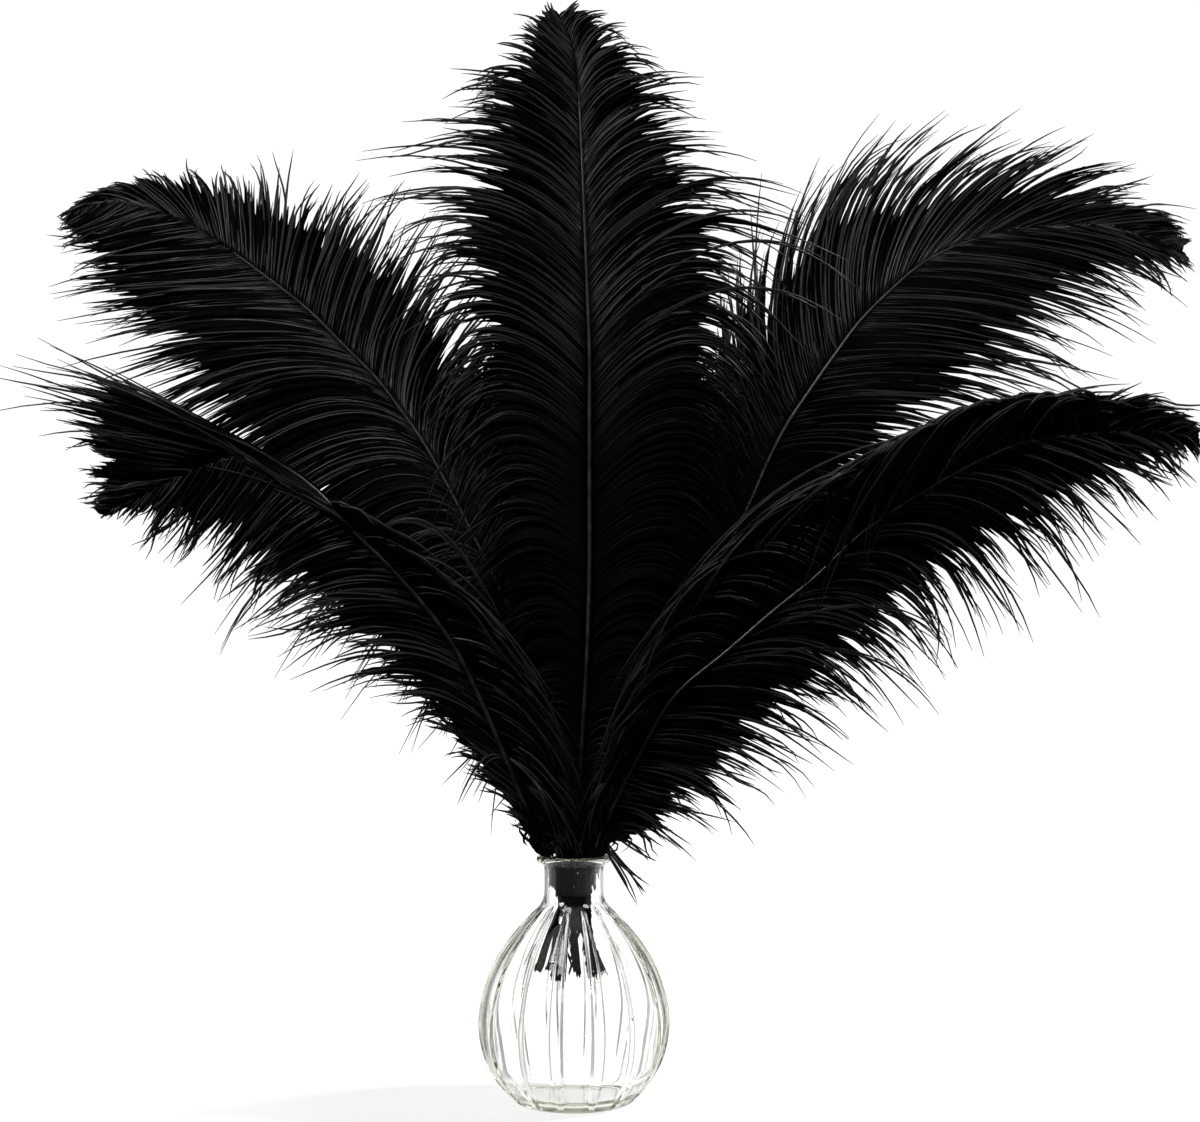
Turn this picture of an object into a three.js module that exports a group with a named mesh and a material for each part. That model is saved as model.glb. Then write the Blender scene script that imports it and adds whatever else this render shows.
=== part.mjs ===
// Seven black ostrich plumes standing in a small bottle vase of clear ribbed glass.
// Millimetres, +Z up, seen from -Y. The origin is the middle of the vase's flat underside.
import * as THREE from "three";

// Driving dimensions of the vase
const ribCount = 14;
const ribHeight = 1.1; // how far a rib stands out of the wall
const ribWidth = 8.2; // degrees of the circle that one rib takes
const ribCrown = 3.2; // degrees of its flat crown
const firstRib = -10.3; // degrees from the front of the vase to the first rib, towards +X
const glassColor = 0xdfe6e2;

// The wall, from the middle of the underside up the outside, over the rolled lip and down
// the inside to the middle of the floor: radius, height, and the share of a rib's height.
const wall = [
  [0, 0, 0],
  [24.2, 0, 0],
  [26.6, 1.2, 0.5],
  [29.8, 4.7, 1],
  [34.4, 9.8, 1],
  [39.3, 18.8, 1],
  [42.0, 29.1, 1],
  [42.4, 38.9, 1],
  [40.6, 48.6, 1],
  [37.2, 58.6, 1],
  [32.2, 68.4, 1],
  [25.0, 78.0, 0.8],
  [19.0, 84.8, 0.4],
  [15.9, 87.9, 0],
  [14.4, 92.5, 0],
  [14.4, 104.4, 0],
  [17.2, 107.2, 0],
  [18.4, 109.2, 0],
  [16.9, 111.0, 0],
  [14.2, 109.3, 0],
  [11.8, 104.4, 0],
  [11.8, 91.6, 0],
  [14.0, 86.0, 0],
  [22.6, 75.8, 0],
  [34.2, 57.4, 0],
  [39.4, 38.9, 0],
  [36.4, 19.4, 0],
  [29.6, 9.6, 0],
  [20.0, 6.2, 0],
  [0, 6.2, 0],
];

// Driving dimensions of the plumes
const mouthHeight = 110; // the lip's level, from which a plume's own heights are counted
const cutDepth = 53; // how far below the lip the quills are cut off
const leanRise = 40; // height over which a plume's lean builds up
const quillRadius = 1.6;
const tipRadius = 0.4;
const innerThickness = 0.75; // half of the vane's thickness, a third of the way out
const outerThickness = 0.5; // and two thirds of the way out
const vaneColor = 0x0b0b0c;

// Each plume lies on its own upright sheet. "layer" is the sheet's y in the vase's neck and
// "lean" its slope towards the back (+) or the front (-) higher up. "cut" and "mouth" are the
// quill's x at its cut end and at the lip. A station is x and height of the shaft, of the
// vane's left or lower edge and of its right or upper edge, from the base to the tip.
const plumes = [
  {
    name: "plume_lower_right",
    layer: -6.8,
    lean: -0.4,
    cut: -8.8,
    mouth: 9,
    stations: [
      [12, 9, 8, 9, 16, 9],
      [17, 26, 7, 22, 42, 17],
      [24, 38, 8, 38, 72, 17],
      [32, 53, 11, 56, 97, 27],
      [43, 72, 15, 77, 122, 49],
      [59, 88, 21, 94, 146, 62],
      [77, 103, 31, 112, 165, 77],
      [98, 122, 46, 130, 179, 99],
      [117, 138, 65, 142, 194, 111],
      [135, 155, 86, 156, 210, 121],
      [154, 167, 109, 172, 226, 134],
      [193, 184, 159, 192, 248, 155],
      [233, 188, 211, 204, 262, 175],
      [260, 187, 257, 197, 266, 184],
    ],
  },
  {
    name: "plume_lower_left",
    layer: -3.3,
    lean: -0.3,
    cut: 13.8,
    mouth: -12,
    stations: [
      [-14, 7, -17, 7, -10, 7],
      [-20, 19, -28, 17, -8, 17],
      [-28, 39, -50, 38, 1, 38],
      [-36, 62, -75, 59, -3, 72],
      [-47, 82, -103, 82, -12, 98],
      [-59, 105, -127, 104, -30, 120],
      [-76, 127, -146, 117, -62, 145],
      [-92, 143, -159, 121, -96, 168],
      [-110, 163, -175, 131, -130, 192],
      [-126, 174, -186, 142, -163, 208],
      [-143, 178, -196, 150, -197, 223],
      [-182, 173, -210, 162, -234, 228],
      [-203, 179, -217, 172, -242, 218],
      [-221, 192, -225, 185, -242, 206],
    ],
  },
  {
    name: "plume_center",
    layer: 0.4,
    lean: -0.06,
    cut: -5.9,
    mouth: -0.2,
    stations: [
      [0, 8, -4, 8, 4, 8],
      [2, 30, -10, 26, 12, 26],
      [4, 57, -24, 44, 25, 44],
      [6, 93, -42, 75, 48, 75],
      [6, 131, -55, 120, 72, 116],
      [7, 165, -66, 165, 90, 165],
      [7, 196, -77, 205, 101, 203],
      [7, 227, -86, 245, 106, 234],
      [6, 254, -90, 271, 101, 267],
      [5, 280, -87, 296, 87, 293],
      [4, 304, -81, 315, 76, 314],
      [2, 339, -55, 347, 49, 343],
      [-2, 363, -26, 371, 21, 369],
      [-6, 376, -13, 379, 7, 377],
    ],
  },
  {
    name: "plume_back_right",
    layer: 3.6,
    lean: 0.08,
    cut: 7.7,
    mouth: 4.6,
    stations: [
      [5, 9, 2, 9, 9, 9],
      [7, 30, -2, 30, 17, 30],
      [12, 61, -9, 63, 39, 59],
      [17, 91, -13, 97, 57, 88],
      [23, 120, -13, 131, 71, 120],
      [29, 147, -10, 161, 78, 152],
      [33, 172, -4, 188, 78, 182],
      [35, 193, 7, 207, 69, 207],
      [37, 209, 25, 218, 53, 218],
    ],
  },
  {
    name: "plume_upper_left",
    layer: 4.2,
    lean: 0.2,
    cut: 1.4,
    mouth: -3.6,
    stations: [
      [-5, 9, -8, 9, -1, 9],
      [-10, 30, -18, 25, 3, 34],
      [-16, 56, -34, 50, 7, 68],
      [-23, 83, -54, 74, 7, 102],
      [-33, 117, -71, 102, 0, 138],
      [-45, 142, -96, 131, -14, 175],
      [-58, 167, -120, 161, -28, 211],
      [-70, 188, -147, 181, -38, 242],
      [-82, 205, -175, 198, -49, 263],
      [-93, 220, -199, 215, -64, 282],
      [-125, 251, -233, 243, -106, 305],
      [-165, 282, -242, 271, -167, 323],
      [-192, 297, -243, 285, -193, 323],
      [-216, 304, -243, 292, -216, 316],
      [-235, 301, -241, 297, -235, 309],
    ],
  },
  {
    name: "plume_upper_right",
    layer: 8,
    lean: 0.3,
    cut: -11.7,
    mouth: 6.3,
    stations: [
      [14, 22, 10, 22, 18, 22],
      [26, 48, 14, 54, 48, 40],
      [43, 83, 26, 101, 76, 72],
      [61, 120, 41, 148, 107, 104],
      [80, 157, 54, 205, 128, 131],
      [94, 187, 68, 244, 160, 162],
      [109, 211, 87, 291, 194, 186],
      [124, 232, 105, 317, 223, 202],
      [139, 250, 135, 340, 245, 214],
      [156, 269, 162, 348, 256, 229],
      [176, 281, 189, 350, 268, 242],
      [198, 290, 219, 350, 281, 253],
      [250, 296, 274, 331, 297, 270],
      [271, 291, 289, 309, 298, 279],
      [288, 286, 294, 295, 297, 284],
    ],
  },
  {
    name: "plume_back_left",
    layer: 8,
    lean: 0.45,
    cut: -16.7,
    mouth: 1.6,
    stations: [
      [3, 24, -1, 24, 6, 24],
      [1, 42, -13, 40, 12, 44],
      [-3, 69, -32, 62, 21, 74],
      [-11, 101, -54, 94, 30, 110],
      [-20, 134, -71, 129, 31, 150],
      [-30, 167, -84, 167, 24, 192],
      [-38, 194, -85, 199, 7, 219],
      [-44, 212, -79, 219, -13, 231],
      [-49, 226, -64, 232, -33, 236],
    ],
  },
];

// A closed skin over rings of equally many points, each ring running anticlockwise seen from
// the skin's far end, with a middle point to close it at both ends.
function skin(rings, firstPoint, lastPoint) {
  const around = rings[0].length;
  const points = [firstPoint, ...rings.flat(), lastPoint];
  const faces = [];
  const at = (ring, k) => 1 + ring * around + (k % around);
  for (let k = 0; k < around; k++) {
    faces.push(0, at(0, k + 1), at(0, k));
    faces.push(points.length - 1, at(rings.length - 1, k), at(rings.length - 1, k + 1));
    for (let ring = 0; ring + 1 < rings.length; ring++) {
      faces.push(at(ring, k), at(ring, k + 1), at(ring + 1, k + 1));
      faces.push(at(ring, k), at(ring + 1, k + 1), at(ring + 1, k));
    }
  }
  const geometry = new THREE.BufferGeometry().setFromPoints(points);
  geometry.setIndex(faces);
  geometry.computeVertexNormals();
  return geometry;
}

// The vase is its wall turned about Z, with a rib standing out wherever the angle meets one.
function vaseGeometry() {
  const pitch = 360 / ribCount;
  const corners = [
    [-ribWidth / 2, 0],
    [-ribCrown / 2, 1],
    [ribCrown / 2, 1],
    [ribWidth / 2, 0],
    [pitch / 2, 0],
  ];
  const rings = wall.slice(1, -1).map(([radius, height, ribShare]) => {
    const ring = [];
    for (let rib = 0; rib < ribCount; rib++) {
      for (const [offset, rise] of corners) {
        const angle = THREE.MathUtils.degToRad(firstRib + rib * pitch + offset - 90);
        const reach = radius + rise * ribShare * ribHeight;
        ring.push(new THREE.Vector3(reach * Math.cos(angle), reach * Math.sin(angle), height));
      }
    }
    return ring;
  });
  const underside = new THREE.Vector3(0, 0, wall[0][1]);
  const floor = new THREE.Vector3(0, 0, wall.at(-1)[1]);
  return skin(rings, underside, floor);
}

// How far back the plume's sheet lies at a height above the lip.
function sheetDepth(plume, height) {
  return height > 0 ? plume.layer + (plume.lean * height * height) / (height + leanRise) : plume.layer;
}

// The quill's stations, round from the cut end to the lip, as one row with the vane's.
function allStations(plume) {
  const quill = [0, 0.5, 1].map((share) => {
    const x = THREE.MathUtils.lerp(plume.cut, plume.mouth, share);
    const height = -cutDepth * (1 - share);
    return [x, height, x - quillRadius, height, x + quillRadius, height];
  });
  return [...quill, ...plume.stations];
}

// The rows halfway between the stations lie on a Catmull-Rom curve through them.
function smoothed(rows) {
  const row = (i) => rows[Math.min(Math.max(i, 0), rows.length - 1)];
  return rows.flatMap((here, i) => {
    if (i === rows.length - 1) return [here];
    const between = here.map(
      (value, n) => (9 * (value + row(i + 1)[n]) - row(i - 1)[n] - row(i + 2)[n]) / 16,
    );
    return [here, between];
  });
}

// One plume: a tapered quill that flattens into its vane, thickest along the shaft and
// running out to an edge on both sides.
function plumeGeometry(plume) {
  const rows = smoothed(allStations(plume));
  const rings = rows.map(([x, height, leftX, leftHeight, rightX, rightHeight], i) => {
    const radius = THREE.MathUtils.lerp(quillRadius, tipRadius, i / (rows.length - 1));
    const width = Math.hypot(rightX - leftX, rightHeight - leftHeight);
    const flatness = THREE.MathUtils.clamp((width / 2 - quillRadius) / 6, 0, 1);
    const point = (side, share, face) => {
      const edgeX = side < 0 ? leftX : rightX;
      const edgeHeight = side < 0 ? leftHeight : rightHeight;
      const vane = share < 0.5 ? innerThickness : outerThickness;
      const round = radius * Math.sqrt(1 - share * share);
      const half = share > 0 ? THREE.MathUtils.lerp(round, vane, flatness) : radius;
      const pointHeight = THREE.MathUtils.lerp(height, edgeHeight, share);
      return new THREE.Vector3(
        THREE.MathUtils.lerp(x, edgeX, share),
        sheetDepth(plume, pointHeight) + (share < 1 ? face * half : 0),
        mouthHeight + pointHeight,
      );
    };
    const front = [point(-1, 2 / 3, -1), point(-1, 1 / 3, -1), point(1, 0, -1)];
    const frontRight = [point(1, 1 / 3, -1), point(1, 2 / 3, -1)];
    const back = [point(1, 2 / 3, 1), point(1, 1 / 3, 1), point(1, 0, 1)];
    const backLeft = [point(-1, 1 / 3, 1), point(-1, 2 / 3, 1)];
    return [point(-1, 1, 0), ...front, ...frontRight, point(1, 1, 0), ...back, ...backLeft];
  });
  const middle = ([x, height]) =>
    new THREE.Vector3(x, sheetDepth(plume, height), mouthHeight + height);
  return skin(rings, middle(rows[0]), middle(rows.at(-1)));
}

const glass = new THREE.MeshStandardMaterial({
  color: glassColor,
  roughness: 0.05,
  metalness: 0,
  transparent: true,
  opacity: 0.35,
});
const feather = new THREE.MeshStandardMaterial({
  color: vaneColor,
  roughness: 0.6,
  metalness: 0,
  side: THREE.DoubleSide,
});

const group = new THREE.Group();

const vase = new THREE.Mesh(vaseGeometry(), glass);
vase.name = "vase";
group.add(vase);

for (const plume of plumes) {
  const mesh = new THREE.Mesh(plumeGeometry(plume), feather);
  mesh.name = plume.name;
  group.add(mesh);
}

export default group;
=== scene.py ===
import math

import bpy
import numpy as np
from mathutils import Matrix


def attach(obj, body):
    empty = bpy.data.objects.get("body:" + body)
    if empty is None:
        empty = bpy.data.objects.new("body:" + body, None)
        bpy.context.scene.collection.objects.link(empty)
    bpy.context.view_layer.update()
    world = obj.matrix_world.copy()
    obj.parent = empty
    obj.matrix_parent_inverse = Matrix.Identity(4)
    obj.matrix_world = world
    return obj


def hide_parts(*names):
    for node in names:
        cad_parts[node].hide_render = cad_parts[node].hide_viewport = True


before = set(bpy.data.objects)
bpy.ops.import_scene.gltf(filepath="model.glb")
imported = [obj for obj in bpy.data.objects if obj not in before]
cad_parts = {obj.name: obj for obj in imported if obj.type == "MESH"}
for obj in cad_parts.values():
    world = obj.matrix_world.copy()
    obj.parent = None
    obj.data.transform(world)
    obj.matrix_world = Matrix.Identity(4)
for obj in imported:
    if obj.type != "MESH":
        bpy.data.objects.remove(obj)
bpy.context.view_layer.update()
print("frame loaded:", len(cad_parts), "nodes")

millimetre = 0.001
tiny = 1e-9  # keeps a division by a length from failing
frontView = np.array([0.0, -1.0, 0.0])  # the side of a plume that is meant to be looked at


# Puts points, quads and triangles into a mesh object, with one uv for each point.
# uvs are copied to the corners of the faces; every face is smooth.
def meshPiece(name, points, quads, triangles, uvs, material):
    corners = np.concatenate([quads.ravel(), triangles.ravel()]).astype(np.int32)
    quadStarts = np.arange(0, quads.size, 4)
    triangleStarts = quads.size + np.arange(0, triangles.size, 3)
    starts = np.concatenate([quadStarts, triangleStarts]).astype(np.int32)
    mesh = bpy.data.meshes.new(name)
    mesh.vertices.add(len(points))
    mesh.vertices.foreach_set("co", (points * millimetre).astype(np.float32).ravel())
    mesh.loops.add(len(corners))
    mesh.loops.foreach_set("vertex_index", corners)
    mesh.polygons.add(len(starts))
    mesh.polygons.foreach_set("loop_start", starts)
    mesh.polygons.foreach_set("use_smooth", np.ones(len(starts), dtype=bool))
    layer = mesh.uv_layers.new(name="UVMap")
    layer.data.foreach_set("uv", uvs[corners].astype(np.float32).ravel())
    mesh.update(calc_edges=True)
    mesh.materials.append(material)
    piece = bpy.data.objects.new(name, mesh)
    bpy.context.scene.collection.objects.link(piece)
    return piece


# Puts a piece under the root body and hides the CAD node that it stands for.
def stands(piece, node):
    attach(piece, "root")
    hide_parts(node)
    return piece


# Catmull-Rom: the curve passes through each row, with the slope of its two neighbours.
def through(rows, steps):
    rows = np.asarray(rows, dtype=float)
    padded = np.vstack([2 * rows[0] - rows[1], rows, 2 * rows[-1] - rows[-2]])
    before, start, end, after = padded[:-3], padded[1:-2], padded[2:-1], padded[3:]
    t = (np.arange(steps) / steps)[None, :, None]
    before, start, end, after = (part[:, None, :] for part in (before, start, end, after))
    curve = 0.5 * (
        2 * start
        + (end - before) * t
        + (2 * before - 5 * start + 4 * end - after) * t**2
        + (3 * start - before - 3 * end + after) * t**3
    )
    return np.vstack([curve.reshape(-1, rows.shape[1]), rows[-1:]])


# Quads round tubes whose points follow each other, each tube of rings of count points.
def tubeQuads(tubes, rings, count):
    first = (np.arange(tubes) * rings * count)[:, None, None]
    ring = first + (np.arange(rings - 1) * count)[None, :, None]
    corner = np.arange(count)
    here, beside = ring + corner, ring + (corner + 1) % count
    return np.stack([here, beside, beside + count, here + count], axis=-1).reshape(-1, 4)


# Fans that close a tube at both ends, round the two points that follow its last ring.
def endFans(rings, count):
    around = np.arange(count)
    onward = (around + 1) % count
    middle = rings * count
    last = middle - count
    startFan = np.stack([onward, around, np.full(count, middle)], axis=-1)
    endFan = np.stack([last + around, last + onward, np.full(count, middle + 1)], axis=-1)
    return np.vstack([startFan, endFan])


# Feeds an input of a node from a socket or with a value.
def feed(tree, value, entry):
    if isinstance(value, bpy.types.NodeSocket):
        tree.links.new(value, entry)
    else:
        entry.default_value = value


# Sets inputs of a node by their names, written with a low line for a space.
def setInputs(node, values):
    for name, value in values.items():
        node.inputs[name.replace("_", " ")].default_value = value


# A new material, its tree and its Principled shader.
def newMaterial(name, **values):
    material = bpy.data.materials.new(name)
    material.use_nodes = True
    shader = material.node_tree.nodes["Principled BSDF"]
    setInputs(shader, values)
    return material, material.node_tree, shader


def addNode(tree, kind, **values):
    node = tree.nodes.new(kind)
    setInputs(node, values)
    return node


def link(tree, fromNode, fromSocket, toNode, toSocket):
    tree.links.new(fromNode.outputs[fromSocket], toNode.inputs[toSocket])


# Carries a socket's value from one range to another, and holds it at the ends.
def mapRange(tree, value, fromRange, toMin, toMax):
    low, high = fromRange
    node = addNode(
        tree, "ShaderNodeMapRange", From_Min=low, From_Max=high, To_Min=toMin, To_Max=toMax
    )
    tree.links.new(value, node.inputs["Value"])
    return node.outputs["Result"]


# A calculation in a shader tree on up to three inputs, each a number or a socket.
def shaderMath(tree, operation, *inputs):
    node = tree.nodes.new("ShaderNodeMath")
    node.operation = operation
    for number, value in enumerate(inputs):
        feed(tree, value, node.inputs[number])
    return node.outputs[0]


# The first value where share is 0, and the second where it is 1.
def mixed(tree, share, first, second):
    node = tree.nodes.new("ShaderNodeMix")
    for name, value in (("Factor", share), ("A", first), ("B", second)):
        feed(tree, value, node.inputs[name])
    return node.outputs["Result"]


def noise(tree, fromNode, fromSocket, scale, detail):
    node = addNode(tree, "ShaderNodeTexNoise", Scale=scale, Detail=detail)
    link(tree, fromNode, fromSocket, node, "Vector")
    return node


# Colours a shader from dark to light while a value goes from one place to another.
def colourBy(tree, value, places, finish, shader):
    ramp = addNode(tree, "ShaderNodeValToRGB")
    colours = (finish["dark"], finish["light"])
    for element, place, colour in zip(ramp.color_ramp.elements, places, colours):
        element.position = place
        element.color = colour
    tree.links.new(value, ramp.inputs["Fac"])
    link(tree, ramp, "Color", shader, "Base Color")


# Bumps in a shader's surface where the noise is high.
def bumpBy(tree, fromNoise, strength, depth, shader):
    bump = addNode(tree, "ShaderNodeBump", Strength=strength, Distance=depth)
    link(tree, fromNoise, "Fac", bump, "Height")
    link(tree, bump, "Normal", shader, "Normal")


# Dyed black barbs. Strands catch the light; the broad part of a vane behind them, and the down,
# take a darker copy of the finish with no shine: painted shade behind and between the strands.
# The streaks of the barbules repeat along a barb and across it.
strandFinish = dict(
    dark=(0.003, 0.003, 0.0032, 1), light=(0.018, 0.0175, 0.0175, 1), roughLow=0.24, roughHigh=0.8,
    streaksAlong=1.5, streaksAcross=9.0, patchScale=34.0, bump=0.35, specular=0.6,
)
# painted shade: the vane is darker than the strands and has no shine
shadedVaneFinish = dict(
    dark=(0.002, 0.002, 0.0021, 1), light=(0.006, 0.006, 0.006, 1), roughLow=0.55, roughHigh=0.85,
    streaksAlong=2.0, streaksAcross=14.0, patchScale=30.0, bump=0.5, specular=0.0,
)
# Where the dye turns pale and where the gloss is lost, by the noise, and the bumps' depth in m.
feather = dict(
    streakDetail=3.0, patchDetail=2.0, paleOver=(0.12, 0.42), glossOver=(0.4, 0.6), bumpDepth=0.0003
)
# Painted shade where the plumes crowd together and little light gets in: from far to near, in m
# from the middle of the crowd, the shine and the paler streaks fall to a share of what they are
# outside.
crowdShade = dict(middle=(0.042, 0.0, 0.238), reach=(0.06, 0.13), share=0.06)


# Streaks drawn out along each barb by its uv, in patches of more and less dye, and the
# roughness with them. A material with painted shade loses its shine and paler streaks in the crowd.
def featherMaterial(name, finish, paintedShade=False):
    specular = finish["specular"]
    material, tree, shader = newMaterial(name, Specular_IOR_Level=specular)
    coordinates = addNode(tree, "ShaderNodeTexCoord")
    scale = (finish["streaksAlong"], finish["streaksAcross"], 1)
    stretch = addNode(tree, "ShaderNodeMapping", Scale=scale)
    link(tree, coordinates, "UV", stretch, "Vector")
    streaks = noise(tree, stretch, "Vector", 1.0, feather["streakDetail"])
    patches = noise(tree, coordinates, "Object", finish["patchScale"], feather["patchDetail"])
    dye = shaderMath(tree, "MULTIPLY", streaks.outputs["Fac"], patches.outputs["Fac"])
    # painted shade: the dye and the shine darken towards the middle of the crowd
    if paintedShade:
        away = addNode(tree, "ShaderNodeVectorMath")
        away.operation = "DISTANCE"
        away.inputs[1].default_value = crowdShade["middle"]
        link(tree, coordinates, "Object", away, 0)
        lit = mapRange(tree, away.outputs["Value"], crowdShade["reach"], crowdShade["share"], 1)
        dye = shaderMath(tree, "MULTIPLY", dye, lit)
        shine = shaderMath(tree, "MULTIPLY", lit, specular)
        tree.links.new(shine, shader.inputs["Specular IOR Level"])
    colourBy(tree, dye, feather["paleOver"], finish, shader)
    rough = (finish["roughLow"], finish["roughHigh"])
    gloss = mapRange(tree, streaks.outputs["Fac"], feather["glossOver"], *rough)
    tree.links.new(gloss, shader.inputs["Roughness"])
    bumpBy(tree, streaks, finish["bump"], feather["bumpDepth"], shader)
    return material


shaftFinish = dict(
    dark=(0.016, 0.016, 0.016, 1), light=(0.06, 0.058, 0.056, 1), scale=140.0, roughness=0.26,
    specular=0.7,
)
# painted shade: the quill, below the lip inside the glass, is a darker copy of the shaft's horn with
# no shine
shadedQuillFinish = dict(
    dark=(0.004, 0.004, 0.004, 1), light=(0.018, 0.017, 0.016, 1), scale=180.0, roughness=0.6,
    specular=0.0,
)
horn = dict(detail=4.0, paleOver=(0.35, 0.72), bump=0.3, bumpDepth=0.0002)


# Horn, dyed black and paler in flecks.
def hornMaterial(name, finish):
    material, tree, shader = newMaterial(
        name, Roughness=finish["roughness"], Specular_IOR_Level=finish["specular"]
    )
    coordinates = addNode(tree, "ShaderNodeTexCoord")
    flecks = noise(tree, coordinates, "Object", finish["scale"], horn["detail"])
    colourBy(tree, flecks.outputs["Fac"], horn["paleOver"], finish, shader)
    bumpBy(tree, flecks, horn["bump"], horn["bumpDepth"], shader)
    return material


glass = dict(
    index=1.5, rippleScale=55.0, rippleDetail=1.0, bump=0.07, bumpDepth=0.0006,
    tint=(0.80, 0.81, 0.66, 1), density=30.0,
)


# Clear pressed glass: faint ripples in the surface, and a slight grey green in its depth.
def glassMaterial():
    material, tree, shader = newMaterial(
        "clearGlass", Base_Color=(1, 1, 1, 1), Roughness=0.0, IOR=glass["index"],
        Transmission_Weight=1.0,
    )
    coordinates = addNode(tree, "ShaderNodeTexCoord")
    ripples = noise(tree, coordinates, "Object", glass["rippleScale"], glass["rippleDetail"])
    bumpBy(tree, ripples, glass["bump"], glass["bumpDepth"], shader)
    depth = addNode(
        tree, "ShaderNodeVolumeAbsorption", Color=glass["tint"], Density=glass["density"]
    )
    link(tree, depth, "Volume", tree.nodes["Material Output"], "Volume")
    return material


blackStrand = featherMaterial("blackStrand", strandFinish)
# the strands with painted shade in the middle of the crowd
shadedStrand = featherMaterial("shadedStrand", strandFinish, paintedShade=True)
shadedBlackVane = featherMaterial("shadedBlackVane", shadedVaneFinish)
blackShaft = hornMaterial("blackShaft", shaftFinish)
shadedBlackQuill = hornMaterial("shadedBlackQuill", shadedQuillFinish)
clearGlass = glassMaterial()
print("materials made")


vaseForm = dict(
    ribs=14,
    ribHeight=1.3,  # mm that a rib stands out of the wall
    ribWidth=9.0,  # degrees of the circle
    ribFlank=1.25,  # mm over which each of a rib's sides climbs
    flankEase=0.3,  # how far the climb is from a plain slope to a smooth step
    firstRib=-10.3,  # degrees from the front, towards +X
    besideRib=[0, 1.0, 1.9, 2.6, 3.1, 3.6, 4.1, 4.6, 5.6, 8.6],  # degrees from a rib's middle
    stepsPerRow=4,
    # radius, height and the share of a rib's height, up the outside and down the inside
    wall=[
        (0.0, 1.4, 0), (12.0, 1.3, 0), (20.5, 0.8, 0), (23.6, 0.0, 0), (26.2, 0.9, 0.3),
        (29.4, 4.3, 0.9), (33.9, 9.8, 1), (38.7, 18.8, 1), (41.3, 29.1, 1), (41.7, 38.9, 1),
        (40.0, 48.6, 1), (36.7, 58.6, 1), (31.7, 68.4, 1), (24.5, 78.0, 1), (18.4, 84.8, 0.7),
        (15.2, 88.6, 0.2), (13.9, 92.8, 0), (13.6, 98.5, 0), (13.6, 105.0, 0), (14.4, 107.2, 0),
        (16.2, 108.1, 0), (16.9, 109.4, 0), (16.3, 110.7, 0), (14.8, 111.0, 0), (13.1, 109.9, 0),
        (12.0, 106.5, 0), (11.8, 98.0, 0), (12.1, 91.8, 0), (14.3, 87.0, 0), (23.0, 76.9, 0),
        (35.0, 58.2, 0), (39.9, 38.9, 0), (37.0, 19.2, 0), (32.4, 10.6, 0), (27.4, 5.4, 0),
        (20.0, 3.6, 0), (8.0, 3.2, 0), (0.0, 3.1, 0),
    ],
)


# The wall's profile turned about Z. At each angle the radius is the profile's plus
# ribHeight times a rib's cross-section, which is a soft step up and a soft step down.
def vaseMesh(form):
    profile = through(form["wall"], form["stepsPerRow"])[1:-1]
    profile[:, 2] = np.clip(profile[:, 2], 0, 1)
    pitch = 360 / form["ribs"]
    beside = np.array(form["besideRib"])
    stations = np.concatenate([beside, [pitch / 2], pitch - beside[:0:-1]])
    angle = (np.arange(form["ribs"])[:, None] * pitch + stations[None, :]).ravel()
    fromRib = np.abs((angle + pitch / 2) % pitch - pitch / 2)
    flank = np.degrees(form["ribFlank"] / np.maximum(profile[:, :1], form["ribFlank"]))
    climb = np.clip((form["ribWidth"] / 2 - fromRib[None, :]) / flank, 0, 1)
    rib = climb + form["flankEase"] * (climb * climb * (3 - 2 * climb) - climb)
    turn = np.radians(angle + form["firstRib"] - 90)
    reach = profile[:, :1] + form["ribHeight"] * profile[:, 2:] * rib
    height = np.repeat(profile[:, 1:2], len(angle), axis=1)
    points = np.stack([reach * np.cos(turn), reach * np.sin(turn), height], axis=-1).reshape(-1, 3)
    ends = np.array([[0, 0, form["wall"][0][1]], [0, 0, form["wall"][-1][1]]])
    points = np.vstack([points, ends])
    quads, fans = tubeQuads(1, len(profile), len(angle)), endFans(len(profile), len(angle))
    uvs = np.stack([np.arctan2(points[:, 1], points[:, 0]), points[:, 2]], axis=-1)
    return meshPiece("vase_ribbed_glass", points, quads, fans, uvs, clearGlass)


vasePiece = stands(vaseMesh(vaseForm), "vase")
vasePiece.data.calc_loop_triangles()
print("vase made:", len(vasePiece.data.loop_triangles), "triangles")


# What holds the plumes, in mm. cutDepth is below the lip, and rimTop and mouthTop are above it.
bottle = dict(
    lipHeight=110.0, cutDepth=53.0, leanRise=40.0, neckRadius=11.1, rimInner=11.5, rimRadius=18.2,
    rimTop=2.2, mouthTop=9.0, mouthSpread=1.4, mouthReach=40.0, mouthFade=15.0,
)

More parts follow.
